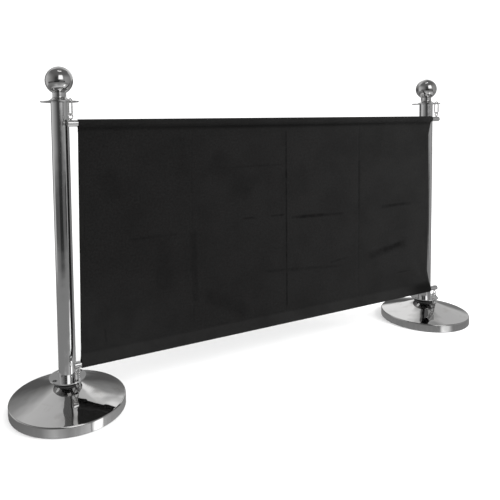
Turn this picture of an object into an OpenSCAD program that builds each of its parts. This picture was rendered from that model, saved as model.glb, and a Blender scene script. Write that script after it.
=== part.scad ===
// Cafe barrier: two free-standing ball-top posts joined by a canvas panel.
// The panel hangs on two tubular rods, and each rod end is clipped to a ring
// plate on its post with a sprung snap hook.
// Frame: origin on the floor midway between the posts, +X from the left post to
// the right post, -Y towards the side the panel hangs on, +Z up. Millimetres.

/* [Posts] */
// Distance between the two post axes
post_pitch = 1510; // [1300:10:1900]
// Diameter of the post tube
tube_d = 50.8; // [48:0.2:52]
// Wall thickness of the post tube
tube_wall = 1.5; // [1.2:0.1:2]
// Diameter of the ball finial
ball_d = 80; // [70:1:84]
// Height of the ball's centre above the floor
ball_z = 960; // [958:1:975]

/* [Base] */
// Diameter of the weighted base
base_d = 340; // [300:5:380]
// Height of the upright band round the base
rim_h = 31; // [26:1:36]
// Height at which the cone of the base meets the hub
cone_top_z = 72; // [70:1:73]
// Sheet thickness of the base cover
cover_t = 1.5; // [1.2:0.1:2]
// Diameter of the hub at the foot of the post
hub_d = 76; // [70:1:80]

/* [Ring plates] */
// Diameter of the ring plates
plate_d = 108; // [106:1:110]
// Thickness of the ring plates
plate_t = 3; // [2:0.5:3]
// Underside height of the upper ring plate
upper_plate_z = 898; // [896:1:900]
// Underside height of the lower ring plate
lower_plate_z = 88; // [86:1:90]
// Diameter of the hook holes in the ring plates
hook_hole_d = 14; // [13:0.5:14]
// Pitch circle of the hook holes
hook_hole_pcd = 86; // [85:0.5:87]
// Turn of the left post's hole that carries the panel
left_turn = -70; // [-74:1:-68]
// Turn of the right post's hole that carries the panel
right_turn = -90; // [-92:1:-86]

/* [Panel] */
// Y position of the plane in which the panel hangs
panel_y = -50; // [-51:0.5:-49.5]
// Width of the canvas
canvas_w = 1440; // [1200:10:1440]
// Thickness of the canvas
canvas_t = 1.6; // [1:0.1:2]
// Bare rod left of the canvas, from the hook axis
canvas_inset = 20; // [18:1:22]
// Outer diameter of the rods
rod_d = 19; // [18:0.5:20]
// Wall thickness of the rods
rod_wall = 1.5; // [1:0.1:2]
// Rod beyond each hook axis
rod_stub = 10; // [9:0.5:12]
// Height of the bottom rod's axis
bottom_rod_z = 141; // [140:0.5:146]

/* [Hooks] */
// Wire diameter of the snap hooks
wire_d = 4; // [3.5:0.1:4.2]
// Distance between the two legs of a snap hook
leg_pitch = 16; // [15.5:0.1:16.5]
// Straight length of a snap hook's legs
leg_l = 30; // [28:0.5:31]
// Length of the gate from its pin to its nose
gate_l = 15.7; // [14:0.1:15.9]

/* [Hidden] */
SIDES = ["left", "right"];
ENDS = ["top", "bottom"];
POST_PARTS = [
    "foot_ring", "base_weight", "base_cover", "base_hub", "base_bolt", "bolt_washer",
    "lower_ring_plate", "tube_bottom_plug", "post_tube", "tube_top_plug",
    "upper_ring_plate", "finial_stud", "finial_neck", "finial_ball"
];
CORNER_PARTS = ["rod_plug", "rod_eye", "hook_body", "hook_gate", "hook_pin", "hook_spring"];

$fn = 96;
fit_gap = 0.05;        // radial gap of a close fit
run_gap = 0.3;         // gap between separate bodies that touch in use

// Post stack, from the floor up
foot_h = 5;            // rubber ring
foot_w = 15;
cover_lift = 2;        // the cover's edge stops above the floor
rim_bend_r = 4;        // bend between the rim band and the cone
rim_slope = 16;        // slope of the cover at the rim, degrees
sweep_l = 30;          // length over which the cover steepens inwards
seat_r = 40;           // flat seat on the cover under the hub
cover_step = 6;        // between two points of the cover's section
bolt_r = 6;
bolt_head_r = 9.5;
bolt_head_h = 7.5;
recess_r = 22;         // pocket under the weight for the bolt head
recess_z = 20;
washer_t = 2.5;
washer_r = 18;
bottom_plug_h = 40;
top_plug_h = 25;
stud_r = 5;
stud_drop = 22;        // stud length below the upper plate
stud_rise = 36;        // stud length above the upper plate
ball_wall = 1.5;
tube_r = tube_d / 2;
tube_in_r = tube_r - tube_wall;
base_r = base_d / 2;
hub_r = hub_d / 2;
plate_r = plate_d / 2;
upper_plate_top = upper_plate_z + plate_t;
neck_waist_r = 19.5;
neck_base_r = 30.5;
neck_edge_h = 2.5;     // upright edge at the neck's foot
neck_flare_h = 10.5;   // height over which the neck flares

// Snap hooks
wire_r = wire_d / 2;
bend_r = leg_pitch / 2;
hook_lift = 2.4;       // the top hook's bend clears the ring plate's rim at every turn
tongue_t = 1.4;
tongue_r = 1.4;
gate_r = 2.2;
slot_t = 1.9;
slot_ceiling = 2.2;    // gate slot above the pin axis
pin_z = 1.8;           // gate pin above the end of the straight leg
pin_r = 0.7;
ear_r = 1.6;
nose_gap = 0.5;
nose_depth = 2.3;
spring_r = 0.8;
spring_wire_r = 0.2;
spring_turns = 6;
spring_l = 8;

// Screw eyes
eye_wire_r = 1.75;
eye_out_r = 9;
eye_in_r = eye_out_r - 2 * eye_wire_r;
eye_collar_h = 1.2;
eye_collar_r = 3.6;
eye_shank_r = 1.9;
eye_shank_l = 13;

// Panel
rod_r = rod_d / 2;
rod_in_r = rod_r - rod_wall;
plug_flange = 2.5;
plug_l = 22;
sleeve_gap = 0.8;
sleeve_t = 1.7;
sleeve_r = rod_r + sleeve_gap + sleeve_t;
hem_w = 25;
hem_t = canvas_t + 1;

// Heights that follow from how the hooks hang
ring_drop = eye_in_r - run_gap - wire_r;   // eye centre from the centre of the wire through it
top_hook_z = upper_plate_top + hook_lift - leg_l - bend_r + wire_r;
top_eye_z = top_hook_z - bend_r - ring_drop;
top_rod_z = top_eye_z - eye_out_r - eye_collar_h - rod_r;
bottom_eye_z = bottom_rod_z - rod_r - eye_collar_h - eye_out_r;
bottom_hook_z = bottom_eye_z - bend_r - ring_drop;

function post_x(side) = (side == "left" ? -1 : 1) * post_pitch / 2;
function turn(side) = side == "left" ? left_turn : right_turn;
function hook_x(side) = post_x(side) + panel_y / sin(turn(side)) * cos(turn(side));
rod_left_x = hook_x("left") - rod_stub;
rod_right_x = hook_x("right") + rod_stub;
canvas_left_x = hook_x("left") + canvas_inset;

// Places a post part, with the hole that carries the panel facing its turn
module at_post(side) {
    translate([post_x(side), 0, 0]) rotate([0, 0, turn(side)]) children();
}

// Places a hook: +X away from the post, +Z from the eye towards the ring plate
module at_hook(end, side) {
    top = end == "top";
    translate([hook_x(side), panel_y, top ? top_hook_z : bottom_hook_z])
        rotate([0, 0, turn(side)])
            mirror([0, 0, top ? 0 : 1])
                children();
}

// Places an eye: its centre at the origin, its shank towards -Z
module at_eye(end, side) {
    top = end == "top";
    translate([hook_x(side), panel_y, top ? top_eye_z : bottom_eye_z])
        rotate([0, 0, turn(side)])
            mirror([0, 0, top ? 0 : 1])
                children();
}

// Places a rod end: +X out of the rod, origin at the rod's end face
module at_rod_end(end, side) {
    left = side == "left";
    translate([left ? rod_left_x : rod_right_x, panel_y, end == "top" ? top_rod_z : bottom_rod_z])
        mirror([left ? 1 : 0, 0, 0])
            children();
}

// Ring of revolution about Z from r_in to r_out
module ring(r_in, r_out, h) {
    difference() {
        cylinder(r = r_out, h = h);
        translate([0, 0, -1]) cylinder(r = r_in, h = h + 2);
    }
}

// Outside of the cover between the seat and the rim bend: (radius, height) points, lowered by drop
cone_out_r = base_r - rim_bend_r;
sweep_rise = cone_top_z - rim_h - (cone_out_r - seat_r) * tan(rim_slope);
function cone_z(r) =
    rim_h + (cone_out_r - r) * tan(rim_slope) + sweep_rise * exp(-(r - seat_r) / sweep_l);
function cone_line(drop) =
    [for (r = [seat_r:cover_step:cone_out_r]) [r, cone_z(r) - drop]];

// ---- Post parts ----

// Rubber ring that the base stands on
module foot_ring() {
    outer_r = base_r - cover_t - 4;
    color("#202022") ring(outer_r - foot_w, outer_r, foot_h);
}

// Cast concrete weight that fills the cover
module base_weight() {
    r_in = bolt_r + 0.6;
    r_out = base_r - cover_t - 1;
    drop = cover_t + 0.6;
    color("#8f8d88") rotate_extrude() polygon(concat(
        [[r_in, recess_z], [r_in, cone_top_z - drop]],
        cone_line(drop),
        [
            [r_out, rim_h - drop - rim_bend_r],
            [r_out, foot_h + rim_bend_r],
            [r_out - rim_bend_r, foot_h],
            [recess_r, foot_h],
            [recess_r, recess_z]
        ]
    ));
}

// Spun cover: rim band, bend, swept cone and flat seat, one sheet thick
module base_cover() {
    bend = [for (a = [0:10:70]) [cos(a), sin(a)]];
    bend_z = rim_h - rim_bend_r;
    outside = cone_line(0);
    inside = cone_line(cover_t);
    last = len(inside) - 1;
    color("#c9ccd0") rotate_extrude() polygon(concat(
        [[bolt_r + 0.6, cone_top_z]],
        outside,
        [for (i = [len(bend) - 1:-1:0])
            [cone_out_r + rim_bend_r * bend[i][0], bend_z + rim_bend_r * bend[i][1]]],
        [[base_r, cover_lift], [base_r - cover_t, cover_lift]],
        [for (p = bend)
            [cone_out_r + (rim_bend_r - cover_t) * p[0], bend_z + (rim_bend_r - cover_t) * p[1]]],
        [for (i = [last:-1:0]) inside[i]],
        [[bolt_r + 0.6, cone_top_z - cover_t]]
    ));
}

// Moulded black hub that steadies the foot of the tube and carries the lower plate
module base_hub() {
    foot_r = hub_r;
    top_r = hub_r - 2;
    color("#202022") rotate_extrude() polygon([
        [tube_r + fit_gap, cone_top_z],
        [foot_r, cone_top_z],
        [foot_r, cone_top_z + 4],
        [top_r, cone_top_z + 7],
        [top_r, lower_plate_z - 4],
        [foot_r, lower_plate_z - 2],
        [foot_r, lower_plate_z],
        [tube_r + fit_gap, lower_plate_z]
    ]);
}

// Hexagon bolt that pulls the tube down onto the base
module base_bolt() {
    seat = recess_z - washer_t;
    color("#8a8d92") {
        translate([0, 0, seat - bolt_head_h]) cylinder(r = bolt_head_r, h = bolt_head_h, $fn = 6);
        translate([0, 0, seat]) cylinder(r = bolt_r, h = cone_top_z + 30 - seat);
    }
}

module bolt_washer() {
    color("#9a9da2") translate([0, 0, recess_z - washer_t]) ring(bolt_r + 0.5, washer_r, washer_t);
}

// Ring plate with four hook holes and a middle bore
module ring_plate(bore_r) {
    color("#c9ccd0") difference() {
        ring(bore_r, plate_r, plate_t);
        for (a = [0:90:270])
            rotate([0, 0, a])
                translate([hook_hole_pcd / 2, 0, -1])
                    cylinder(d = hook_hole_d, h = plate_t + 2);
    }
}

module lower_ring_plate() {
    translate([0, 0, lower_plate_z]) ring_plate(tube_r + fit_gap);
}

module upper_ring_plate() {
    translate([0, 0, upper_plate_z]) ring_plate(stud_r + 0.2);
}

module tube_bottom_plug() {
    color("#8a8d92") translate([0, 0, cone_top_z])
        ring(bolt_r + fit_gap, tube_in_r - fit_gap, bottom_plug_h);
}

module post_tube() {
    color("#c9ccd0") translate([0, 0, cone_top_z])
        ring(tube_in_r, tube_r, upper_plate_z - cone_top_z);
}

module tube_top_plug() {
    color("#8a8d92") translate([0, 0, upper_plate_z - top_plug_h])
        ring(stud_r + fit_gap, tube_in_r - fit_gap, top_plug_h);
}

module finial_stud() {
    color("#9a9da2") translate([0, 0, upper_plate_z - stud_drop])
        cylinder(r = stud_r, h = stud_drop + stud_rise);
}

// Flared neck that clamps the upper plate and cups the ball
module finial_neck() {
    waist_z = ball_z - sqrt(pow(ball_d / 2, 2) - pow(neck_waist_r, 2));
    flare = [for (t = [0:0.125:1]) [
        neck_waist_r + (neck_base_r - neck_waist_r) * pow(1 - t, 2),
        upper_plate_top + neck_edge_h + neck_flare_h * t
    ]];
    color("#c9ccd0") difference() {
        rotate_extrude() polygon(concat(
            [[stud_r + fit_gap, upper_plate_top], [neck_base_r - 0.8, upper_plate_top],
             [neck_base_r, upper_plate_top + 0.8]],
            flare,
            [[neck_waist_r, waist_z], [stud_r + fit_gap, waist_z]]
        ));
        translate([0, 0, ball_z]) sphere(d = ball_d + 2 * fit_gap);
    }
}

// Hollow ball with a threaded boss for the stud
module finial_ball() {
    boss_r = 11;
    boss_h = 18;
    shell_r = ball_d / 2 - ball_wall;
    color("#c9ccd0") translate([0, 0, ball_z]) difference() {
        union() {
            difference() {
                sphere(d = ball_d, $fn = 128);
                sphere(r = shell_r, $fn = 128);
            }
            intersection() {
                translate([0, 0, -ball_d / 2]) cylinder(r = boss_r, h = boss_h);
                sphere(r = shell_r + ball_wall / 2, $fn = 128);
            }
        }
        translate([0, 0, -ball_d / 2 - 1]) cylinder(r = stud_r + fit_gap, h = boss_h + 2);
    }
}

// ---- Panel parts ----

// Sleeve sewn round a rod
module sleeve(z) {
    translate([canvas_left_x, panel_y, z]) rotate([0, 90, 0]) ring(rod_r + sleeve_gap, sleeve_r, canvas_w);
}

// Canvas: flat sheet, side hems, and a sleeve at the top and at the bottom
module canvas_panel() {
    sheet_low = bottom_rod_z + rod_r + sleeve_gap + sleeve_t / 2;
    sheet_high = top_rod_z - rod_r - sleeve_gap - sleeve_t / 2;
    sheet_h = sheet_high - sheet_low;
    color("#1d1d1f") union() {
        translate([canvas_left_x, panel_y - canvas_t / 2, sheet_low]) cube([canvas_w, canvas_t, sheet_h]);
        for (x = [canvas_left_x, canvas_left_x + canvas_w - hem_w])
            translate([x, panel_y - hem_t / 2, sheet_low]) cube([hem_w, hem_t, sheet_h]);
        sleeve(top_rod_z);
        sleeve(bottom_rod_z);
    }
}

// Rod tube with a cross hole near each end for the eye
module rod(z, eye_side) {
    length = rod_right_x - rod_left_x - 2 * plug_flange;
    color("#c4c7cb") difference() {
        translate([rod_left_x + plug_flange, panel_y, z]) rotate([0, 90, 0]) ring(rod_in_r, rod_r, length);
        for (side = SIDES)
            translate([hook_x(side), panel_y, z])
                mirror([0, 0, eye_side])
                    cylinder(r = eye_shank_r + fit_gap, h = rod_d);
    }
}

module top_rod() {
    rod(top_rod_z, 0);
}

module bottom_rod() {
    rod(bottom_rod_z, 1);
}

// End plug with a rounded cap and a cross bore that the eye screws into
module rod_plug() {
    body_r = rod_in_r - fit_gap;
    edge = 1.2;
    color("#b4b7bb") difference() {
        rotate([0, 90, 0]) rotate_extrude() polygon([
            [0, -plug_flange - plug_l],
            [body_r - 0.6, -plug_flange - plug_l],
            [body_r, -plug_flange - plug_l + 0.6],
            [body_r, -plug_flange],
            [rod_r, -plug_flange],
            [rod_r, -edge],
            [rod_r - 0.35 * edge, -0.35 * edge],
            [rod_r - edge, 0],
            [0, 0]
        ]);
        translate([-rod_stub, 0, -rod_d]) cylinder(r = eye_shank_r + fit_gap, h = 2 * rod_d);
    }
}

// Screw eye: closed ring, collar and shank
module rod_eye() {
    shank_top = -eye_out_r + eye_wire_r / 2;
    color("#d0d3d7") union() {
        rotate([0, 90, 0]) rotate_extrude() translate([eye_out_r - eye_wire_r, 0]) circle(r = eye_wire_r, $fn = 32);
        translate([0, 0, shank_top - eye_shank_l]) cylinder(r = eye_shank_r, h = eye_shank_l);
        translate([0, 0, -eye_out_r - eye_collar_h + fit_gap]) cylinder(r = eye_collar_r, h = eye_collar_h - fit_gap);
    }
}

// ---- Snap hook parts ----

// Half ring of wire that joins the two legs
module wire_bend() {
    rotate([90, 0, 0]) rotate_extrude(angle = 180) translate([bend_r, 0]) circle(r = wire_r, $fn = 32);
}

// Flat tongue that fits a gate slot, round about its own axis
module tongue(h) {
    translate([bend_r - tongue_r, -tongue_t / 2, 0]) cube([2 * tongue_r, tongue_t, h]);
}

// Bent wire with a gap in its outer leg for the gate
module hook_body() {
    stub_z = pin_z + gate_l + nose_gap;
    color("#d0d3d7") difference() {
        union() {
            mirror([0, 0, 1]) wire_bend();
            translate([0, 0, leg_l]) wire_bend();
            translate([-bend_r, 0, 0]) cylinder(r = wire_r, h = leg_l, $fn = 32);
            translate([bend_r, 0, stub_z]) cylinder(r = wire_r, h = leg_l - stub_z, $fn = 32);
            translate([0, 0, stub_z - nose_gap - nose_depth + 0.5]) tongue(nose_depth + nose_gap);
            translate([0, 0, -0.5]) tongue(pin_z + 0.5);
            translate([bend_r, tongue_t / 2, pin_z]) rotate([90, 0, 0]) cylinder(r = tongue_r, h = tongue_t, $fn = 32);
        }
        translate([bend_r, wire_d, pin_z]) rotate([90, 0, 0]) cylinder(r = pin_r + fit_gap, h = 2 * wire_d, $fn = 32);
    }
}

// Gate: a bar with forked ends, bored for its spring
module hook_gate() {
    color("#c4c7cb") difference() {
        union() {
            translate([bend_r, 0, pin_z]) cylinder(r = gate_r, h = gate_l, $fn = 32);
            intersection() {
                translate([bend_r, 0, 0]) cylinder(r = gate_r, h = pin_z + 1, $fn = 32);
                translate([bend_r, gate_r + 1, pin_z]) rotate([90, 0, 0])
                    cylinder(r = ear_r, h = 2 * gate_r + 2, $fn = 32);
            }
        }
        translate([bend_r - gate_r - 1, -slot_t / 2, -1])
            cube([2 * gate_r + 2, slot_t, pin_z + slot_ceiling + 1]);
        translate([bend_r - gate_r - 1, -slot_t / 2, pin_z + gate_l - nose_depth])
            cube([2 * gate_r + 2, slot_t, nose_depth + 1]);
        translate([bend_r, wire_d, pin_z]) rotate([90, 0, 0]) cylinder(r = pin_r + fit_gap, h = 2 * wire_d, $fn = 32);
        translate([bend_r, 0, pin_z + slot_ceiling - 0.5])
            cylinder(r = spring_r + spring_wire_r + 0.15, h = spring_l + 1.2, $fn = 32);
    }
}

module hook_pin() {
    length = 2 * gate_r + 0.4;
    color("#8a8d92") translate([bend_r, length / 2, pin_z]) rotate([90, 0, 0])
        cylinder(r = pin_r, h = length, $fn = 32);
}

// Coil spring that closes the gate
module hook_spring() {
    rings_per_turn = 10;
    wire_sides = 6;
    last = spring_turns * rings_per_turn;
    rise = (spring_l - 2 * spring_wire_r) / last;
    points = [for (i = [0:last]) for (k = [0:wire_sides - 1])
        let (a = i * 360 / rings_per_turn, b = k * 360 / wire_sides, r = spring_r + spring_wire_r * cos(b))
        [r * cos(a), r * sin(a), spring_wire_r * (1 + sin(b)) + i * rise]];
    sides = [for (i = [0:last - 1]) for (k = [0:wire_sides - 1]) for (half = [0, 1])
        let (n = (k + 1) % wire_sides, near = i * wire_sides, far = near + wire_sides)
        half == 0 ? [near + k, far + n, far + k] : [near + k, near + n, far + n]];
    first_cap = [for (k = [wire_sides - 1:-1:0]) k];
    last_cap = [for (k = [0:wire_sides - 1]) last * wire_sides + k];
    color("#8a8d92") translate([bend_r, 0, pin_z + slot_ceiling + 0.3])
        polyhedron(points = points, faces = concat(sides, [first_cap], [last_cap]));
}

// ---- Output ----

for (side = SIDES) {
    at_post(side) foot_ring();
    at_post(side) base_weight();
    at_post(side) base_cover();
    at_post(side) base_hub();
    at_post(side) base_bolt();
    at_post(side) bolt_washer();
    at_post(side) lower_ring_plate();
    at_post(side) tube_bottom_plug();
    at_post(side) post_tube();
    at_post(side) tube_top_plug();
    at_post(side) upper_ring_plate();
    at_post(side) finial_stud();
    at_post(side) finial_neck();
    at_post(side) finial_ball();
}
canvas_panel();
top_rod();
bottom_rod();
for (end = ENDS) for (side = SIDES) {
    at_rod_end(end, side) rod_plug();
    at_eye(end, side) rod_eye();
    at_hook(end, side) hook_body();
    at_hook(end, side) hook_gate();
    at_hook(end, side) hook_pin();
    at_hook(end, side) hook_spring();
}
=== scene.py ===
"""Cafe barrier: two polished ball-top posts with a black canvas panel clipped between them.

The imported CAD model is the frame. This script gives each node its finish, sews the canvas
that stands for the plain CAD panel, and sets up the floor, the studio and the camera.
Everything is in metres in the frame's axes: +X from the left post to the right, +Z up, and
the camera on the -Y side.
"""

import math

import bmesh
import bpy
import numpy as np
from mathutils import Matrix, Vector


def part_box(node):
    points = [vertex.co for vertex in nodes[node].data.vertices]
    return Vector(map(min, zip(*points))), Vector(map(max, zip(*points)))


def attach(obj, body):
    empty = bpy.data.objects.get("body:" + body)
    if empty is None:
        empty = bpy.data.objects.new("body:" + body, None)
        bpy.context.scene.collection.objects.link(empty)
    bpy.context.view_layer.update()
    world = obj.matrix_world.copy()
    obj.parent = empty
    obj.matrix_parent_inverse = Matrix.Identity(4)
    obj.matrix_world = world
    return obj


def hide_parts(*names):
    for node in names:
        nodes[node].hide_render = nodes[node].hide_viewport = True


MM = 0.001

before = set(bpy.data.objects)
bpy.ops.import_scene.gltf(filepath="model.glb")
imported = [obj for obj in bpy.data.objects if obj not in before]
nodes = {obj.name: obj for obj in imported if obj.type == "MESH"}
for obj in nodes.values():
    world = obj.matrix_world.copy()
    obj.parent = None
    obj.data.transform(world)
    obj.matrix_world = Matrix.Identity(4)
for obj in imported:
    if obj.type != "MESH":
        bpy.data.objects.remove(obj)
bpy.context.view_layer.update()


# ---------------------------------------------------------------- sizes


def centre(node):
    """The middle of a node's box, as [x, y, z]."""
    return [(low + high) / 2 for low, high in zip(*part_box(node))]


SIDES = ("left", "right")
ENDS = ("top", "bottom")
CORNERS = [f"{end}_{side}" for end in ENDS for side in SIDES]

panel_low, panel_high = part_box("canvas_panel")
_, PANEL_Y, TOP_Z = centre("top_rod")
BOTTOM_Z = centre("bottom_rod")[2]
LEFT_X, RIGHT_X = panel_low.x, panel_high.x
CLOTH_W = RIGHT_X - LEFT_X

CLOTH_T = 0.6 * MM
LOOP_R = 11.3 * MM  # sleeve round the rod, at the cloth's mid surface
SEAM_DROP = 13.0 * MM  # top sleeve's seam from the rod's axis
LOW_DROP = 29.0 * MM  # bottom sleeve's seam from the rod's axis
ALLOWANCE = 12 * MM  # cloth turned in past the seam
HEM_W = 22 * MM
LAYER = 1.0 * MM  # between two cloth layers that touch
FRONT_GAP = 0.4 * MM
THREAD_PITCH = 0.9 * MM

CREASES = (0.245, 0.501, 0.733)  # vertical fold creases, as shares of the width
CREASE_DEPTHS = (-0.9, -1.8, 1.0)  # mm towards +Y
CREASE_WORN = (0.45, 1.0, 0.55)
MID_FOLD_Z = 0.503
SOFT_STEP = 50 * MM  # below the top seam and above the low one, where the cloth starts to hang
EDGE_PULL = 14 * MM  # how far the right edge is drawn in between the sleeves
LOW_SLIDE = 9 * MM  # how far the left end of the bottom sleeve has slid out

STITCH_PITCH = 4.0 * MM
STITCH_L = 3.1 * MM
STITCH_R = 0.3 * MM
STITCH_INSET = 16 * MM  # side hem's stitches from the edge
STITCH_SIDES = 5

FLOOR_HALF = 14.0
DOME_R = 9.0
DOME_Z = 0.6
CARD_MIDDLE = (0.87, -1.74, -0.9)
CARD_HALF_W = 0.62
CARD_HALF_H = 0.5


# ---------------------------------------------------------------- node trees


def add(tree, kind, inputs=None, **settings):
    """Adds a node. inputs maps its sockets to values or to the outputs that feed them."""
    made = tree.nodes.new(kind)
    for name, value in settings.items():
        setattr(made, name, value)
    for key, value in (inputs or {}).items():
        if isinstance(value, bpy.types.NodeSocket):
            tree.links.new(value, made.inputs[key])
        else:
            made.inputs[key].default_value = value
    return made


def math_node(tree, operation, a, b=0.0, c=0.0):
    """The output of one Math node."""
    return add(tree, "ShaderNodeMath", {0: a, 1: b, 2: c}, operation=operation).outputs[0]


def remap(tree, value, low, high, to_low, to_high, smooth=False):
    """value taken from low..high to to_low..to_high, and held there outside."""
    made = add(
        tree,
        "ShaderNodeMapRange",
        {0: value, 1: low, 2: high, 3: to_low, 4: to_high},
        interpolation_type="SMOOTHSTEP" if smooth else "LINEAR",
    )
    return made.outputs[0]


def noise(tree, vector, scale, detail=2.0, rough=0.5):
    """The grey output of a Noise Texture on a vector in metres."""
    made = add(
        tree,
        "ShaderNodeTexNoise",
        {"Vector": vector, "Scale": scale, "Detail": detail, "Roughness": rough},
    )
    return made.outputs[0]


def mix_colour(tree, share, a, b):
    """Colour a where share is 0, b where it is 1."""
    made = add(tree, "ShaderNodeMix", {0: share, 6: a, 7: b}, data_type="RGBA")
    return made.outputs[2]


def bump(tree, height, distance, normal=None):
    """A normal bent by height, in metres when height runs from 0 to 1."""
    inputs = {"Height": height, "Distance": distance, "Strength": 1.0}
    if normal is not None:
        inputs["Normal"] = normal
    return add(tree, "ShaderNodeBump", inputs).outputs[0]


def line_mask(tree, x, z, start, end, half_width):
    """1 on the line from start to end in the X-Z plane, 0 beyond half_width of it."""
    length = math.hypot(end[0] - start[0], end[1] - start[1])
    ux, uz = (end[0] - start[0]) / length, (end[1] - start[1]) / length
    dx = math_node(tree, "SUBTRACT", x, start[0])
    dz = math_node(tree, "SUBTRACT", z, start[1])
    along = math_node(tree, "MULTIPLY_ADD", dx, ux, math_node(tree, "MULTIPLY", dz, uz))
    off = math_node(tree, "MULTIPLY_ADD", dx, uz, math_node(tree, "MULTIPLY", dz, -ux))
    off = math_node(tree, "ABSOLUTE", off)
    near = remap(tree, off, 0.2 * half_width, half_width, 1.0, 0.0, smooth=True)
    soft = min(0.02, length / 3)
    begun = remap(tree, along, -soft / 2, soft / 2, 0.0, 1.0, smooth=True)
    going = remap(tree, along, length - soft, length, 1.0, 0.0, smooth=True)
    return math_node(tree, "MULTIPLY", near, math_node(tree, "MULTIPLY", begun, going))


def cells(tree, vector, scale):
    """The outputs of a Voronoi Texture on a vector in metres."""
    return add(tree, "ShaderNodeTexVoronoi", {"Vector": vector, "Scale": scale}).outputs


def rubbed_edges(tree):
    """1 on the outward edges of a mesh, 0 on its faces."""
    pointiness = add(tree, "ShaderNodeNewGeometry").outputs["Pointiness"]
    return remap(tree, pointiness, 0.53, 0.60, 0.0, 1.0)


def new_object(name, data):
    """An object on this mesh, lamp or camera, put into the scene."""
    made = bpy.data.objects.new(name, data)
    bpy.context.scene.collection.objects.link(made)
    return made


def new_material(name):
    """An empty node material and its tree."""
    material = bpy.data.materials.new(name)
    material.use_nodes = True
    material.node_tree.nodes.clear()
    return material, material.node_tree


def principled(tree, inputs):
    """Ends the tree in a Principled shader with these inputs."""
    shader = add(tree, "ShaderNodeBsdfPrincipled", inputs)
    output = add(tree, "ShaderNodeOutputMaterial")
    tree.links.new(shader.outputs[0], output.inputs["Surface"])


def glowing(tree, colour, strength):
    """Ends the tree in an Emission shader."""
    light = add(tree, "ShaderNodeEmission", {"Color": colour, "Strength": strength})
    output = add(tree, "ShaderNodeOutputMaterial")
    tree.links.new(light.outputs[0], output.inputs["Surface"])


def grey(level, warmth=0.0):
    """A grey of that linear level, a little warmer above 0 and cooler below."""
    return (level * (1 + warmth), level, level * (1 - warmth), 1.0)


def object_coordinates(tree):
    """The point in the frame's own axes, which moves with its body."""
    return add(tree, "ShaderNodeTexCoord").outputs["Object"]


# ---------------------------------------------------------------- materials


def polish_lines(tree, point, axis_x, along):
    """Fine polishing marks round a vertical axis at axis_x, or along it."""
    parts = add(tree, "ShaderNodeSeparateXYZ", {0: point}).outputs
    across = math_node(tree, "SUBTRACT", parts[0], axis_x)
    if along:
        stretched = math_node(tree, "MULTIPLY", parts[2], 0.01)
        places = {0: across, 1: parts[1], 2: stretched}
    else:
        square = math_node(tree, "MULTIPLY", parts[1], parts[1])
        square = math_node(tree, "ADD", math_node(tree, "MULTIPLY", across, across), square)
        places = {0: math_node(tree, "SQRT", square), 1: parts[2], 2: 0.0}
    vector = add(tree, "ShaderNodeCombineXYZ", places).outputs[0]
    return noise(tree, vector, 900.0, 3.0, 0.6)


def metal(name, level, rough, marks, axis_x=0.0, along=False, wave=0.06 * MM):
    """Polished plated metal: mirror finish, polishing marks, slight waviness, handling
    smudges and worn edges. marks is how far the polishing marks change the roughness."""
    material, tree = new_material(name)
    point = object_coordinates(tree)
    lines = polish_lines(tree, point, axis_x, along)
    patches = noise(tree, point, 17.0, 5.0, 0.62)
    smudged = remap(tree, patches, 0.52, 0.72, 0.0, 1.0, smooth=True)
    specks = remap(tree, noise(tree, point, 620.0, 2.0), 0.70, 0.78, 0.0, 1.0)
    edges = rubbed_edges(tree)
    roughness = math_node(
        tree,
        "ADD",
        remap(tree, lines, 0.3, 0.7, rough, rough + marks),
        math_node(tree, "MULTIPLY", smudged, 0.05),
    )
    roughness = math_node(tree, "MULTIPLY_ADD", specks, 0.10, roughness)
    roughness = math_node(tree, "MULTIPLY_ADD", edges, 0.06, roughness)
    dulled = math_node(tree, "MAXIMUM", smudged, math_node(tree, "MULTIPLY", specks, 0.8))
    colour = mix_colour(tree, dulled, grey(level, 0.006), grey(level * 0.90, 0.02))
    colour = mix_colour(tree, edges, colour, grey(min(level * 1.15, 0.9)))
    swell = bump(tree, noise(tree, point, 21.0, 1.0), wave * 10)
    normal = bump(tree, lines, 0.000001 + marks * 0.00001, swell)
    principled(
        tree,
        {"Base Color": colour, "Metallic": 1.0, "Roughness": roughness, "Normal": normal},
    )
    return material


def rubber():
    """Moulded black rubber with a fine grain and patches of dust."""
    material, tree = new_material("rubber")
    point = object_coordinates(tree)
    grain = noise(tree, point, 1400.0, 3.0)
    dust = remap(tree, noise(tree, point, 40.0, 4.0), 0.5, 0.75, 0.0, 0.5)
    principled(
        tree,
        {
            "Base Color": mix_colour(tree, dust, grey(0.016), grey(0.06, 0.05)),
            "Roughness": remap(tree, grain, 0.3, 0.7, 0.62, 0.8),
            "Normal": bump(tree, grain, 0.00012),
        },
    )
    return material


def moulded_black():
    """Glossy black moulded plastic with a fine texture, fingerprints and rubbed edges."""
    material, tree = new_material("moulded_black")
    point = object_coordinates(tree)
    grain = noise(tree, point, 900.0, 3.0)
    prints = remap(tree, noise(tree, point, 55.0, 4.0), 0.5, 0.7, 0.0, 1.0, smooth=True)
    edges = rubbed_edges(tree)
    tone = mix_colour(tree, prints, grey(0.006), grey(0.012, 0.02))
    principled(
        tree,
        {
            "Base Color": mix_colour(tree, edges, tone, grey(0.05)),
            "Roughness": remap(tree, math_node(tree, "ADD", grain, prints), 0.4, 1.5, 0.35, 0.5),
            "Specular IOR Level": 0.25,
            "Normal": bump(tree, grain, 0.00004),
        },
    )
    return material


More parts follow.
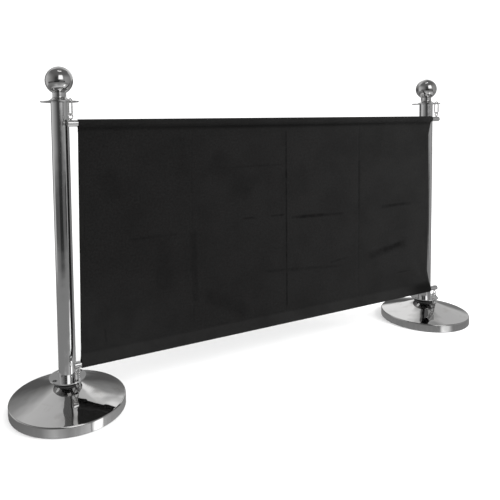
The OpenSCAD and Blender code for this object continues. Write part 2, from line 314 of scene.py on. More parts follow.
def concrete():
    """Cast concrete with sand, stone and air holes."""
    material, tree = new_material("cast_concrete")
    point = object_coordinates(tree)
    sand = noise(tree, point, 700.0, 4.0, 0.6)
    stone = cells(tree, point, 130.0)["Distance"]
    holes = remap(tree, stone, 0.0, 0.16, 1.0, 0.0, smooth=True)
    tone = mix_colour(tree, sand, grey(0.20, 0.04), grey(0.36, 0.05))
    height = math_node(tree, "SUBTRACT", sand, math_node(tree, "MULTIPLY", holes, 2.0))
    principled(
        tree,
        {
            # The air holes are painted darker: painted shade in the hollows
            "Base Color": mix_colour(tree, holes, tone, grey(0.09, 0.04)),
            "Roughness": 0.9,
            "Normal": bump(tree, height, 0.0006),
        },
    )
    return material


def zinc_steel():
    """Zinc-plated steel for the hidden fastenings: dull, mottled and faintly turned."""
    material, tree = new_material("zinc_steel")
    point = object_coordinates(tree)
    spangle = cells(tree, point, 260.0)["Color"]
    tone = add(tree, "ShaderNodeSeparateColor", {0: spangle}).outputs[0]
    turned = noise(tree, point, 1500.0, 2.0)
    principled(
        tree,
        {
            "Base Color": mix_colour(tree, tone, grey(0.42), grey(0.58, -0.03)),
            "Metallic": 1.0,
            "Roughness": remap(tree, turned, 0.3, 0.7, 0.28, 0.45),
            "Normal": bump(tree, turned, 0.00003),
        },
    )
    return material


def fold_shade(tree, x, z):
    """From 0 to 1, how dark the painted shade is: along the pressed fold creases, wrinkles and
    hollows, as sharp valleys shade themselves more than the mesh can show, in a band under
    the top seam, and in the low right corner."""
    shade = None
    for start, end, half_width, depth in fold_marks():
        mask = line_mask(tree, x, z, start, end, half_width)
        mask = math_node(tree, "MULTIPLY", mask, depth)
        shade = mask if shade is None else math_node(tree, "MAXIMUM", shade, mask)
    point = add(tree, "ShaderNodeCombineXYZ", {0: x, 1: 0.0, 2: z}).outputs[0]
    broken = remap(tree, noise(tree, point, 45.0, 2.0), 0.35, 0.6, 0.55, 1.0)
    shade = math_node(tree, "MULTIPLY", shade, broken)
    # Painted shade in a band under the top sleeve's seam
    seam_z = TOP_Z - SEAM_DROP
    under = math_node(
        tree,
        "MULTIPLY",
        remap(tree, z, seam_z - 14 * MM, seam_z - 3 * MM, 0.0, 0.6, smooth=True),
        remap(tree, z, seam_z - 2 * MM, seam_z + 3 * MM, 1.0, 0.0, smooth=True),
    )
    under = math_node(
        tree,
        "MULTIPLY",
        under,
        remap(tree, math_node(tree, "ABSOLUTE", x), 0.15, 0.6, 1.0, 0.5, smooth=True),
    )
    # Painted shadow in the low right corner, by the bottom sleeve
    corner = math_node(
        tree,
        "MULTIPLY",
        remap(tree, x, RIGHT_X - 0.15, RIGHT_X - 0.06, 0.0, 0.8, smooth=True),
        remap(tree, z, BOTTOM_Z + 0.018, BOTTOM_Z + 0.040, 1.0, 0.0, smooth=True),
    )
    return math_node(tree, "MAXIMUM", shade, math_node(tree, "MAXIMUM", under, corner))


def weave(tree, cut):
    """A plain weave on the flat cut: above 0 where the warp is on top, below 0 where the
    weft is."""
    parts = add(tree, "ShaderNodeSeparateXYZ", {0: cut}).outputs
    turn = math.pi / THREAD_PITCH
    warp = math_node(tree, "SINE", math_node(tree, "MULTIPLY", parts[0], turn))
    weft = math_node(tree, "SINE", math_node(tree, "MULTIPLY", parts[1], turn))
    return math_node(tree, "MULTIPLY", warp, weft)


def painted_light_share(tree, x, z):
    """How much lighter the cloth is painted: painted light that grows towards the right, and
    lighter in the low left corner.
    """
    painted_right_light = remap(tree, x, LEFT_X, RIGHT_X, 0.0, 1.0)
    low_left = math_node(
        tree,
        "MULTIPLY",
        remap(tree, x, LEFT_X, LEFT_X + 0.55, 1.5, 0.0, smooth=True),
        remap(tree, z, BOTTOM_Z, BOTTOM_Z + 0.34, 1.0, 0.0, smooth=True),
    )
    return math_node(tree, "MULTIPLY", math_node(tree, "MAXIMUM", painted_right_light, low_left), 0.6)


def canvas_tone(tree, cut, x, z, over, painted_shade):
    """The cloth's colour: a mottled black that is fuzzy, linty and creased, lighter with
    painted light towards the right and lighter in the low left corner, and darkened with painted
    shade along its creases, wrinkles and hollows, under the top seam and in the low right
    corner.
    """
    crease = add(tree, "ShaderNodeAttribute", attribute_name="crease").outputs["Fac"]
    mottle = remap(tree, noise(tree, cut, 4.5, 5.0, 0.6), 0.3, 0.7, 0.0, 1.0)
    tone = mix_colour(tree, mottle, grey(0.0024, 0.02), grey(0.0040, 0.03))
    # Painted light: lighter towards the right, and also lighter in the low left corner
    tone = mix_colour(tree, painted_light_share(tree, x, z), tone, grey(0.0105))
    warp_side = remap(tree, over, -0.6, 0.6, 0.0, 0.30)
    tone = mix_colour(tree, warp_side, tone, grey(0.012))
    low_seam = BOTTOM_Z + LOW_DROP
    low_sleeve = remap(tree, z, low_seam - 2 * MM, low_seam, 0.3, 0.0)
    tone = mix_colour(tree, low_sleeve, tone, grey(0.020, 0.01))
    fuzz = remap(tree, noise(tree, cut, 170.0, 5.0, 0.75), 0.38, 0.62, 0.0, 0.60)
    tone = mix_colour(tree, fuzz, tone, grey(0.0125, 0.02))
    cloudy = remap(tree, noise(tree, cut, 9.0, 3.0, 0.6), 0.40, 0.65, 0.0, 0.30)
    tone = mix_colour(tree, cloudy, tone, grey(0.0030))
    tone = mix_colour(tree, math_node(tree, "MULTIPLY", crease, 0.04), tone, grey(0.03))
    lint = remap(tree, noise(tree, cut, 520.0, 1.0), 0.74, 0.80, 0.0, 0.20)
    tone = mix_colour(tree, lint, tone, grey(0.06))
    # Painted shade along the creases, wrinkles and hollows, under the top seam and in the low
    # right corner
    return mix_colour(tree, painted_shade, tone, grey(0.0008))


def canvas_cloth():
    """Black plain-weave canvas. The mesh carries the place on the flat cut in metres, so
    the weave follows the cloth round the sleeves, and how worn each crease is."""
    material, tree = new_material("black_canvas")
    cut = add(tree, "ShaderNodeAttribute", attribute_name="cut").outputs["Vector"]
    place = add(tree, "ShaderNodeSeparateXYZ", {0: object_coordinates(tree)}).outputs
    over = weave(tree, cut)
    ribs = math_node(tree, "ABSOLUTE", over)
    thick_thin = noise(tree, cut, 90.0, 3.0, 0.6)
    long_cells = add(tree, "ShaderNodeMapping", {"Vector": cut, "Scale": (40.0, 900.0, 1.0)})
    slubs = noise(tree, long_cells.outputs[0], 1.0)
    # Painted shade of the creases, wrinkles and hollows, used for the colour and for the relief
    painted_shade = fold_shade(tree, place[0], place[2])
    slubs = math_node(tree, "MULTIPLY", slubs, 0.5)
    height = math_node(tree, "MULTIPLY_ADD", ribs, 0.7, slubs)
    swell = bump(tree, math_node(tree, "MULTIPLY_ADD", painted_shade, -0.8, thick_thin), 0.0007)
    principled(
        tree,
        {
            "Base Color": canvas_tone(tree, cut, place[0], place[2], over, painted_shade),
            "Roughness": remap(tree, thick_thin, 0.3, 0.7, 0.74, 0.88),
            "Normal": bump(tree, height, 0.00016, swell),
            "Specular IOR Level": 0.10,
            "Sheen Weight": 0.015,
            "Sheen Roughness": 0.45,
        },
    )
    return material


def sewing_thread():
    """Black polyester thread: twisted plies with a slight shine."""
    material, tree = new_material("black_thread")
    point = object_coordinates(tree)
    twist = noise(tree, point, 2600.0, 2.0)
    principled(
        tree,
        {
            "Base Color": mix_colour(tree, twist, grey(0.002), grey(0.008)),
            "Roughness": remap(tree, twist, 0.3, 0.7, 0.5, 0.7),
            "Specular IOR Level": 0.2,
            "Normal": bump(tree, twist, 0.00008),
        },
    )
    return material


def give(names, material):
    """Puts one material on every slot of these CAD nodes."""
    for name in names:
        mesh = nodes[name].data
        mesh.materials.clear()
        mesh.materials.append(material)


CHROME, ROD_CHROME, NICKEL = 0.60, 0.62, 0.80  # how much each metal reflects
TURNED = ("finial_ball", "finial_neck", "upper_ring_plate", "lower_ring_plate")
HIDDEN_STEEL = ("base_bolt", "bolt_washer", "tube_bottom_plug", "tube_top_plug", "finial_stud")

for side in SIDES:
    axis_x = centre(f"{side}_post_tube")[0]
    turned = metal(f"turned_chrome_{side}", CHROME, 0.015, 0.02, axis_x)
    drawn = metal(f"drawn_chrome_{side}", CHROME, 0.015, 0.02, axis_x, along=True)
    spun = metal(f"spun_chrome_{side}", CHROME, 0.02, 0.03, axis_x, wave=0.10 * MM)
    give([f"{side}_post_tube"], drawn)
    give([f"{side}_{part}" for part in TURNED], turned)
    give([f"{side}_base_cover"], spun)

rod_chrome = metal("rod_chrome", ROD_CHROME, 0.07, 0.06, along=True)
hook_nickel = metal("hook_nickel", NICKEL, 0.05, 0.05, wave=0.02 * MM)
fastening = zinc_steel()
give(["top_rod", "bottom_rod"] + [f"{c}_rod_plug" for c in CORNERS], rod_chrome)
give(
    [f"{c}_{part}" for c in CORNERS for part in ("rod_eye", "hook_body", "hook_gate")],
    hook_nickel,
)
give([f"{c}_{part}" for c in CORNERS for part in ("hook_pin", "hook_spring")], fastening)
give([f"{side}_{part}" for side in SIDES for part in HIDDEN_STEEL], fastening)
give([f"{side}_foot_ring" for side in SIDES], rubber())
give([f"{side}_base_hub" for side in SIDES], moulded_black())
give([f"{side}_base_weight" for side in SIDES], concrete())


# ---------------------------------------------------------------- canvas


def window(value, centre, half):
    """A smooth bump of height 1 at centre that is gone at 2.5 half widths."""
    return np.exp(-(((value - centre) / half) ** 2))


def hang(z):
    """0 on the sleeves and 1 on the main sheet, with a soft step between."""
    below_top = np.clip((TOP_Z - SEAM_DROP - z) / SOFT_STEP, 0, 1)
    above_low = np.clip((z - BOTTOM_Z - LOW_DROP) / SOFT_STEP, 0, 1)
    return below_top * above_low


def drawn_in(x, z):
    """How far the tension moves a point of the cloth along X: the right edge comes in,
    and the bottom sleeve has slid towards the left end of its rod."""
    share = (x - LEFT_X) / CLOTH_W
    height = (z - BOTTOM_Z) / (TOP_Z - BOTTOM_Z)
    free = hang(z)
    right = -EDGE_PULL * free * (0.85 + 0.15 * np.cos(6 * height)) * np.clip(share, 0, 1) ** 3
    left = -LOW_SLIDE * (1 - np.clip(height, 0, 1)) * (1 - np.clip(share, 0, 1)) ** 4
    return right + left


# Short wrinkles that run across the cloth: share of the width, height and reach in
# metres, depth in mm
WRINKLES = (
    (0.36, 0.690, 0.10, 1.0),
    (0.16, 0.487, 0.06, 0.8),
    (0.60, 0.498, 0.16, 1.1),
    (0.86, 0.505, 0.07, 1.3),
    (0.84, 0.336, 0.09, 1.3),
    (0.57, 0.310, 0.14, 0.8),
)


def ripple(x, z):
    """How far the hanging cloth stands off its plane, towards +Y. Depths add up in mm."""
    share = (x - LEFT_X) / CLOTH_W
    depth = 1.1 * np.sin(5.1 * share + 0.6) * np.sin(math.pi * (z - BOTTOM_Z) / 0.7)
    depth += 0.8 * np.sin(14.3 * share + 2.0 + 2.2 * z) * np.sin(6.1 * z + 0.4)
    depth += 0.35 * np.sin(31.0 * share - 5.0 * z) * np.sin(17.0 * z + 1.1)
    for place, size in zip(CREASES, CREASE_DEPTHS):
        off = (share - place) * CLOTH_W
        depth += size * np.exp(-np.abs(off) / 0.012)
    depth += 0.8 * np.exp(-np.abs(z - MID_FOLD_Z - 0.006 * np.sin(9 * share)) / 0.010)
    for place, height, reach, size in WRINKLES:
        depth += (
            size
            * window(share, place, reach / CLOTH_W)
            * np.sin((z - height - 0.03 * (share - place)) / 0.010)
            * window(z, height, 0.022)
        )
    # Drag lines from the lower corners
    for corner, reach in ((0.0, 0.16), (1.0, 0.26)):
        dx = np.abs(share - corner) * CLOTH_W
        dz = z - BOTTOM_Z
        angle = np.arctan2(dz, dx + 0.004)
        far = np.hypot(dx, dz)
        depth += 0.9 * np.sin(angle * 13) * window(far, 0.45 * reach, 0.4 * reach)
    fade = hang(z)
    pucker = 0.25 * np.sin(x / 0.0021 + 3 * np.sin(x / 0.03)) * (1 - fade)
    return (depth * fade * (2 - fade) + pucker) * MM


def fold_marks():
    """Start and end as (x, z), half width, all in metres, and depth from 0 to 1 of each
    fold, wrinkle and hollow that shades itself."""
    left, middle, right = (LEFT_X + place * CLOTH_W for place in CREASES)
    fold = MID_FOLD_Z
    return [
        # The middle crease, and its deeper stretches
        ((middle, 0.19), (middle, 0.81), 0.0050, 0.75),
        ((middle, 0.640), (middle, 0.685), 0.0050, 0.95),
        ((middle, 0.450), (middle, 0.520), 0.0055, 0.95),
        ((middle, 0.335), (middle, 0.395), 0.0045, 0.90),
        ((middle, 0.260), (middle, 0.315), 0.0045, 0.90),
        # The right and left creases
        ((right, 0.50), (right, 0.70), 0.0080, 0.42),
        ((right, 0.22), (right, 0.80), 0.0040, 0.20),
        ((left + 0.012, 0.26), (left + 0.006, 0.50), 0.0180, 0.32),
        ((left + 0.005, 0.19), (left + 0.005, 0.80), 0.0060, 0.16),
        # The fold across the middle
        ((0.030, fold - 0.003), (0.270, fold - 0.009), 0.0070, 0.50),
        ((0.060, fold - 0.004), (0.180, fold - 0.0065), 0.0090, 0.75),
        ((-0.060, fold + 0.010), (0.004, fold + 0.010), 0.0050, 0.65),
        ((-0.170, fold + 0.011), (-0.110, fold + 0.011), 0.0050, 0.60),
        ((0.450, fold), (0.620, fold + 0.002), 0.0090, 0.45),
        ((0.487, fold + 0.001), (0.600, fold + 0.002), 0.0080, 0.75),
        # Wrinkles
        ((0.394, 0.318), (0.590, 0.351), 0.0220, 0.45),
        ((0.440, 0.330), (0.575, 0.350), 0.0170, 0.70),
        ((-0.080, 0.324), (0.260, 0.300), 0.0080, 0.30),
        ((0.200, 0.318), (0.290, 0.330), 0.0060, 0.40),
        ((0.541, 0.234), (0.618, 0.234), 0.0045, 0.45),
        ((-0.280, 0.687), (0.000, 0.687), 0.0055, 0.28),
        ((-0.570, 0.487), (-0.400, 0.487), 0.0055, 0.35),
        ((-0.653, 0.230), (-0.648, 0.180), 0.0050, 0.35),
        # Broad soft hollows
        ((-0.462, 0.49), (-0.455, 0.31), 0.0450, 0.22),
        ((-0.310, 0.275), (-0.150, 0.195), 0.0350, 0.30),
        ((-0.290, 0.71), (-0.130, 0.60), 0.0600, 0.22),
        ((-0.410, 0.79), (-0.390, 0.66), 0.0500, 0.20),
        ((-0.640, 0.70), (-0.610, 0.60), 0.0450, 0.22),
        ((-0.560, 0.30), (-0.600, 0.18), 0.0300, 0.18),
    ]


def crease_wear(x, z):
    """From 0 to 1, how much the cloth is rubbed along its fold creases."""
    share = (x - LEFT_X) / CLOTH_W
    worn = np.zeros_like(x)
    for place, strength in zip(CREASES, CREASE_WORN):
        off = np.abs(share - place) * CLOTH_W
        worn = np.maximum(worn, strength * np.exp(-((off / 0.0022) ** 2)))
    worn = np.maximum(worn, 0.35 * np.exp(-(((z - MID_FOLD_Z) / 0.0022) ** 2)))
    return worn * (0.75 + 0.25 * np.sin(z * 41 + x * 23))


def sleeve_path(rod_z, up, drop):
    """(stand-off, height) points of a sleeve from the turned-in edge behind the panel,
    round the rod, to the seam at the front, drop from the rod's axis. up is 1 for the top
    sleeve, -1 for the low one."""
    start = math.acos(LOOP_R / drop)
    angles = np.linspace(start, 2 * math.pi - start, 24)
    loop = np.stack([LOOP_R * np.sin(angles), -LOOP_R * np.cos(angles)], 1)
    behind = np.array([LAYER - FRONT_GAP, -drop])
    front = np.array([-FRONT_GAP, -drop])
    tail = [behind - (0, ALLOWANCE * t) for t in (1.0, 0.5, 0.15, 0.0)]
    shares = np.linspace(0, 1, 2 + int((drop - LOOP_R) / (6 * MM)))[1:-1]
    rise = [behind + t * (loop[0] - behind) for t in shares]
    fall = [loop[-1] + t * (front - loop[-1]) for t in shares]
    path = np.array([*tail, *rise, *loop, *fall, front])
    return path * (1, up) + (0, rod_z)


def cloth_path():
    """The whole section of the cloth, and each point's place along the flat cut."""
    top = sleeve_path(TOP_Z, 1, SEAM_DROP)
    bottom = sleeve_path(BOTTOM_Z, -1, LOW_DROP)[::-1]
    z = np.linspace(top[-1, 1], bottom[0, 1], 96)[1:-1]
    main = np.stack([np.full_like(z, -FRONT_GAP), z], 1)
    path = np.concatenate([top, main, bottom])
    steps = np.hypot(*np.diff(path, axis=0).T)
    return path, np.concatenate([[0], np.cumsum(steps)])


def hem_columns():
    """(place across the cloth, layer depth behind the face, place on the flat cut) for
    each column of the mesh, with a hem folded back at both sides."""
    fold_r = LAYER / 2
    turn = np.linspace(math.pi / 2, -math.pi / 2, 5)[1:-1]
    back = [(t * HEM_W, LAYER, -t * HEM_W) for t in (1.0, 0.93, 0.6, 0.3)]
    bend = [
        (fold_r * (1 - math.cos(a)), fold_r * (1 + math.sin(a)), 0.0) for a in turn
    ]
    face = np.linspace(fold_r, CLOTH_W - fold_r, 220)
    # Columns crowd round each crease so that it stays sharp
    for place in CREASES:
        near = place * CLOTH_W + np.array([-5, -3, -1.6, -0.8, 0, 0.8, 1.6, 3, 5]) * MM
        face = np.concatenate([face[np.abs(face - place * CLOTH_W) > 6 * MM], near])
    face = [(u, 0.0, u) for u in np.sort(face)]
    left = back + bend
    right = [(CLOTH_W - u, d, CLOTH_W - c) for u, d, c in reversed(left)]
    return np.array(left + face + right)


def cloth_points(path, along, columns):
    """The rows of the cloth's points, and how worn each one is."""
    tangent = np.gradient(path, axis=0)
    tangent /= np.hypot(*tangent.T)[:, None]
    # Away from the face: towards +Y on the main sheet, into the loop on a sleeve
    inward = np.stack([-tangent[:, 1], tangent[:, 0]], 1)
    u, depth, _ = columns.T
    edge = np.minimum(u, CLOTH_W - u)
    hemmed = np.clip((HEM_W + 8 * MM - edge) / (8 * MM), 0, 1)
    x = LEFT_X + u[None, :] + 0 * along[:, None]
    z = path[:, 1][:, None] + inward[:, 1][:, None] * depth[None, :]
    y = path[:, 0][:, None] + inward[:, 0][:, None] * depth[None, :]
    # The turned-in edge stands off further where the side hem lies under it
    turned_in = (np.abs(path[:, 0] - (LAYER - FRONT_GAP)) < 1e-9)[:, None]
    y = y + turned_in * hemmed[None, :] * 2 * LAYER
    worn = crease_wear(x, z)
    y = y + ripple(x, z)
    x = x + drawn_in(x, z)
    return np.stack([x, PANEL_Y + y, z], 2), worn


def build_canvas():
    """The sewn cloth, and the width and height of its flat cut."""
    path, along = cloth_path()
    columns = hem_columns()
    points, worn = cloth_points(path, along, columns)
    rows, wide = worn.shape
    index = np.arange(rows * wide).reshape(rows, wide)
    quads = np.stack([index[:-1, :-1], index[1:, :-1], index[1:, 1:], index[:-1, 1:]], 2)
    mesh = bpy.data.meshes.new("canvas")
    mesh.from_pydata(points.reshape(-1, 3).tolist(), [], quads.reshape(-1, 4).tolist())
    cut = np.zeros((rows, wide, 3), np.float32)
    cut[:, :, 0] = columns[:, 2][None, :]
    cut[:, :, 1] = along[:, None]
    layer = mesh.attributes.new("cut", "FLOAT_VECTOR", "POINT")
    layer.data.foreach_set("vector", cut.ravel())
    layer = mesh.attributes.new("crease", "FLOAT", "POINT")
    layer.data.foreach_set("value", worn.astype(np.float32).ravel())
    mesh.polygons.foreach_set("use_smooth", [True] * len(mesh.polygons))
    made = new_object("canvas", mesh)
    thick = made.modifiers.new("thickness", "SOLIDIFY")
    thick.thickness, thick.offset = CLOTH_T, 0.0
    mesh.materials.append(canvas_cloth())
    flat = (CLOTH_W + 2 * HEM_W, float(along[-1]))
    return made, flat


def stitch_lines():
    """Start, end and face (-1 front, 1 back) of every sewn line, on the flat panel."""
    top_seam = TOP_Z - SEAM_DROP
    low_seam = BOTTOM_Z + LOW_DROP
    lines = []
    for face in (-1, 1):
        for z in (top_seam - 1.5 * MM, low_seam + 1.5 * MM):
            lines.append(((LEFT_X + 3 * MM, z), (RIGHT_X - 3 * MM, z), face))
        for x in (LEFT_X + STITCH_INSET, RIGHT_X - STITCH_INSET):
            lines.append(((x, low_seam + 4 * MM), (x, top_seam - 4 * MM), face))
    return lines


# Place along a stitch, as a share of its length, and the thread's size there
STITCH_RINGS = ((-0.5, 0.25), (-0.3, 1.0), (0.3, 1.0), (0.5, 0.25))


def stitch_points(start, ax, az, middle, face):
    """Rings of points for the stitch whose middle is that far from the line's start. The
    line runs along (ax, az), and the stitch's ends sink into the cloth."""
    points = []
    for place, size in STITCH_RINGS:
        step = middle + place * STITCH_L
        x, z = start[0] + ax * step, start[1] + az * step
        stand = float(ripple(np.array([x]), np.array([z]))[0])
        x += float(drawn_in(np.array([x]), np.array([z]))[0])
        layers = LAYER if face == 1 else 0.0
        surface = -FRONT_GAP + layers + stand + face * (CLOTH_T / 2 + 0.05 * MM)
        sink = (1 - size) * STITCH_R
        for n in range(STITCH_SIDES):
            turn = n * 2 * math.pi / STITCH_SIDES
            side = STITCH_R * size * math.cos(turn)
            lift = STITCH_R * size * math.sin(turn) - sink
            points.append((x + az * side, PANEL_Y + surface + face * lift, z + ax * side))
    return points


def stitch_faces(first):
    """The faces of one stitch whose points start at index first."""
    ring = STITCH_SIDES
    faces = []
    for s in range(len(STITCH_RINGS) - 1):
        a, b = first + s * ring, first + (s + 1) * ring
        for i in range(ring):
            j = (i + 1) % ring
            faces.append((a + i, a + j, b + j, b + i))
    last = first + (len(STITCH_RINGS) - 1) * ring
    faces.append(tuple(first + i for i in reversed(range(ring))))
    faces.append(tuple(last + i for i in range(ring)))
    return faces


def build_stitches():
    """One mesh with every stitch as a short rounded length of thread."""
    points, faces = [], []
    for start, end, face in stitch_lines():
        length = math.dist(start, end)
        ax, az = (end[0] - start[0]) / length, (end[1] - start[1]) / length
        count = int(length / STITCH_PITCH)
        for k in range(count):
            faces += stitch_faces(len(points))
            points += stitch_points(start, ax, az, (k + 0.5) * length / count, face)
    mesh = bpy.data.meshes.new("stitches")
    mesh.from_pydata(points, [], faces)
    mesh.polygons.foreach_set("use_smooth", [True] * len(mesh.polygons))
    mesh.materials.append(sewing_thread())
    return new_object("canvas_stitches", mesh)


canvas, flat_size = build_canvas()
stitches = build_stitches()
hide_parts("canvas_panel")
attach(canvas, "panel")
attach(stitches, "panel")


# ---------------------------------------------------------------- studio


# Levels of the room by azimuth in degrees (0 is +Y, 90 is +X), as the posts see it
WALLS = (
    (-180, 0.22),  # behind the camera
    (-165, 0.05),  # dark opening, from here
    (-135, 0.07),  # to here
    (-55, 0.65),  # bright wall on the left
    (-30, 0.60),
    (65, 0.25),  # dim wall on the right
    (142, 0.42),  # lit corner
    (180, 0.22),
)
# Levels by azimuth of what the upright rims of the bases look down at
RIM_WALLS = (
    (-180, 0.45),
    (-160, 0.33),
    (-136, 0.55),
    (-110, 0.27),
    (-20, 0.16),
    (110, 0.42),
    (150, 0.72),
    (180, 0.45),
)
# Levels behind the barrier by elevation: dark skirting, then a wall lit from above
BACKDROP = (
    (-15, 0.27),
    (-5, 0.11),
    (5, 0.12),
    (25, 0.36),
    (40, 0.70),
    (58, 0.62),
    (66, 0.34),
    (90, 0.22),
)
BACKDROP_SPAN = (-34, 58, 10)  # azimuth from, to, and softness
# How far the room gives way to each of these by elevation, and their levels
LOW_SHARE = ((-90, 1.0), (-17, 1.0), (-13, 0.0), (90, 0.0))
RIM_SHARE = ((-90, 1.0), (-27, 1.0), (-25.5, 0.0), (90, 0.0))
GROUND_SHARE = ((-90, 1.0), (-50, 0.9), (-36, 0.0), (90, 0.0))
HIGH_SHARE = ((-90, 0.0), (20, 0.0), (45, 1.0), (90, 1.0))
LOW_LEVEL, GROUND_LEVEL, HIGH_LEVEL = 0.27, 0.75, 0.17
# Azimuth from, to, elevation from, to, softness in degrees, and level
PANELS = (
    # Dark furniture low down, behind and beside the camera
    (235, 290, -14, -4, 4, 0.11),
    (195, 235, -14, -4, 4, 0.03),
    (160, 195, -14, -4, 4, 0.14),
    (145, 160, -14, -4, 3, 0.05),
    # A pale screen and a bright window behind the barrier
    (55, 80, 5, 45, 6, 0.65),
    (34, 49, 9, 45, 3, 1.10),
    # The window behind the camera, and the strip light overhead
    (165, 200, 8, 40, 8, 2.0),
    (140, 250, 74, 81, 2, 1.8),
)


def quad(name, corners):
    """An object that is one flat four-sided face."""
    mesh = bpy.data.meshes.new(name)
    mesh.from_pydata([tuple(corner) for corner in corners], [], [(0, 1, 2, 3)])
    return new_object(name, mesh)


def floor():
    """A large pale floor of seamless paper."""
    signs = ((-1, -1), (1, -1), (1, 1), (-1, 1))
    made = quad("floor", [(a * FLOOR_HALF, b * FLOOR_HALF, 0) for a, b in signs])
    material, tree = new_material("floor_paper")
    point = object_coordinates(tree)
    fibre = noise(tree, point, 300.0, 3.0)
    principled(
        tree,
        {
            "Base Color": mix_colour(tree, fibre, grey(0.90), grey(0.93)),
            "Roughness": 0.9,
            "Specular IOR Level": 0.1,
        },
    )
    made.data.materials.append(material)
    made.visible_glossy = False


def reflections_only(made):
    """Stage dressing that the camera, diffuse light and shadows don't see."""
    made.visible_camera = False
    made.visible_diffuse = False
    made.visible_transmission = False
    made.visible_volume_scatter = False
    made.visible_shadow = False


def ramp(tree, value, low, high, stops):
    """The level at value, from (place, level) pairs, blended in between."""
    made = add(tree, "ShaderNodeValToRGB", {0: remap(tree, value, low, high, 0.0, 1.0)})
    elements = made.color_ramp.elements
    while len(elements) < len(stops):
        elements.new(0.5)
    for stop, (place, level) in zip(elements, stops):
        stop.position = (place - low) / (high - low)
        stop.color = grey(level)
    return made.outputs[0]


def inside(tree, value, low, high, soft):
    """1 where value is between low and high, 0 outside, with soft edges."""
    rise = remap(tree, value, low - soft, low + soft, 0.0, 1.0, smooth=True)
    fall = remap(tree, value, high - soft, high + soft, 1.0, 0.0, smooth=True)
    return math_node(tree, "MULTIPLY", rise, fall)


def room_colour(tree, azimuth, elevation):
    """The colour of the room in that direction."""

    def by_elevation(stops):
        return ramp(tree, elevation, -90, 90, stops)

    colour = ramp(tree, azimuth, -180, 180, WALLS)
    colour = mix_colour(tree, by_elevation(LOW_SHARE), colour, grey(LOW_LEVEL))
    colour = mix_colour(tree, by_elevation(HIGH_SHARE), colour, grey(HIGH_LEVEL))
    behind = inside(tree, azimuth, *BACKDROP_SPAN)
    colour = mix_colour(tree, behind, colour, by_elevation(BACKDROP))
    low_walls = ramp(tree, azimuth, -180, 180, RIM_WALLS)
    colour = mix_colour(tree, by_elevation(RIM_SHARE), colour, low_walls)
    colour = mix_colour(tree, by_elevation(GROUND_SHARE), colour, grey(GROUND_LEVEL))
    for az_low, az_high, el_low, el_high, soft, level in PANELS:
        across = inside(tree, azimuth, az_low, az_high, soft)
        if az_high > 180:
            rest = inside(tree, azimuth, az_low - 360, az_high - 360, soft)
            across = math_node(tree, "MAXIMUM", across, rest)
        upright = inside(tree, elevation, el_low, el_high, soft)
        share = math_node(tree, "MULTIPLY", across, upright)
        colour = mix_colour(tree, share, colour, grey(level))
    return colour


def studio_dome():
    """The room that the chrome reflects, as a dome that only reflections see."""
    mesh = bpy.data.meshes.new("studio_dome")
    ball = bmesh.new()
    bmesh.ops.create_uvsphere(ball, u_segments=64, v_segments=32, radius=DOME_R)
    ball.to_mesh(mesh)
    ball.free()
    made = new_object("studio_dome", mesh)
    made.location = (0.0, 0.0, DOME_Z)
    material, tree = new_material("studio_walls")
    material.cycles.emission_sampling = "NONE"
    ray = {0: object_coordinates(tree)}
    point = add(tree, "ShaderNodeVectorMath", ray, operation="NORMALIZE").outputs[0]
    parts = add(tree, "ShaderNodeSeparateXYZ", {0: point}).outputs
    turn = math_node(tree, "ARCTAN2", parts[0], parts[1])
    azimuth = math_node(tree, "DEGREES", turn)
    elevation = math_node(tree, "DEGREES", math_node(tree, "ARCSINE", parts[2]))
    glowing(tree, room_colour(tree, azimuth, elevation), 1.0)
    mesh.materials.append(material)
    reflections_only(made)


def soft_light(name, place, aim, size, power):
    """A square soft light that reflections don't see."""
    lamp = bpy.data.lights.new(name, "AREA")
    lamp.shape, lamp.size, lamp.energy = "SQUARE", size, power
    made = new_object(name, lamp)
    turn = (Vector(aim) - Vector(place)).to_track_quat("-Z", "Y")
    made.matrix_world = Matrix.Translation(place) @ turn.to_matrix().to_4x4()
    made.visible_camera = False
    made.visible_glossy = False


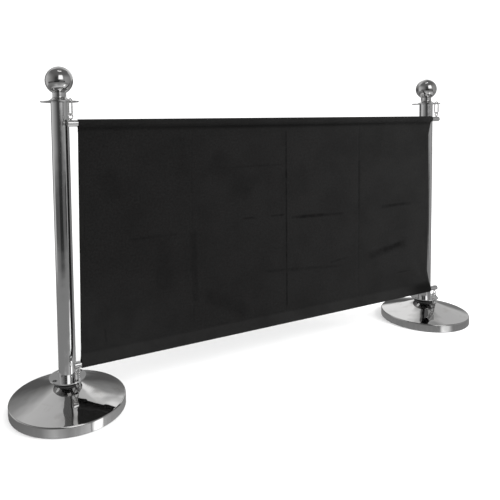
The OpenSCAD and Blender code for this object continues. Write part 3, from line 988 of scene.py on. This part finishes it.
def low_card():
    """A soft card that only reflections see. It stands under the floor's level, where the
    upright rims of the bases look."""
    across = Vector((2.0, 1.0, 0.0)).normalized() * CARD_HALF_W
    middle = Vector(CARD_MIDDLE)
    up = Vector((0.0, 0.0, CARD_HALF_H))
    low, high = middle - up, middle + up
    made = quad("low_card", [low - across, low + across, high + across, high - across])
    material, tree = new_material("card_light")
    material.cycles.emission_sampling = "NONE"
    point = add(tree, "ShaderNodeSeparateXYZ", {0: object_coordinates(tree)}).outputs
    aside = math_node(tree, "ABSOLUTE", math_node(tree, "SUBTRACT", point[0], middle.x))
    edge = remap(tree, aside, 0.18, across.x, 1.0, 0.0, smooth=True)
    glow = remap(tree, point[2], middle.z + 0.1, middle.z + up.z, 1.0, 0.25, smooth=True)
    level = math_node(tree, "MULTIPLY_ADD", math_node(tree, "MULTIPLY", edge, glow), 1.5, 0.3)
    glowing(tree, grey(1.0), level)
    made.data.materials.append(material)
    reflections_only(made)


floor()
studio_dome()
low_card()
soft_light("key", place=(2.2, -1.7, 1.9), aim=(0.4, 0.0, 0.5), size=1.6, power=90.0)
soft_light("fill", place=(-1.2, -2.6, 3.2), aim=(0.0, 0.0, 0.4), size=2.6, power=20.0)

world = bpy.data.worlds.new("studio")
bpy.context.scene.world = world
world.use_nodes = True
background = world.node_tree.nodes["Background"]
background.inputs["Color"].default_value = grey(1.0)
background.inputs["Strength"].default_value = 1.3


# ---------------------------------------------------------------- camera

CAMERA_PLACE = (-1.1044, -1.5393, 0.8263)
CAMERA_YAW = 0.4614  # radians from +Y towards +X
CAMERA_PITCH = 0.0578  # downward
CAMERA_ROLL = -0.0152
CAMERA_LENS = 38.26  # mm
CAMERA_SENSOR = 36.0  # mm
CAMERA_SHIFT = (0.12, -0.188)


def camera():
    """The camera at the photo's viewpoint."""
    forward = np.array(
        [
            math.sin(CAMERA_YAW) * math.cos(CAMERA_PITCH),
            math.cos(CAMERA_YAW) * math.cos(CAMERA_PITCH),
            -math.sin(CAMERA_PITCH),
        ]
    )
    level = np.array([math.cos(CAMERA_YAW), -math.sin(CAMERA_YAW), 0.0])
    above = np.cross(level, forward)
    right = math.cos(CAMERA_ROLL) * level + math.sin(CAMERA_ROLL) * above
    up = math.cos(CAMERA_ROLL) * above - math.sin(CAMERA_ROLL) * level
    data = bpy.data.cameras.new("camera")
    data.sensor_width, data.lens = CAMERA_SENSOR, CAMERA_LENS
    data.shift_x, data.shift_y = CAMERA_SHIFT
    data.clip_start, data.clip_end = 0.05, 60.0
    made = new_object("camera", data)
    turn = Matrix([list(row) for row in np.stack([right, up, -forward], 1)])
    made.matrix_world = Matrix.Translation(CAMERA_PLACE) @ turn.to_4x4()
    bpy.context.scene.camera = made


camera()
bpy.context.scene.view_settings.view_transform = "Standard"
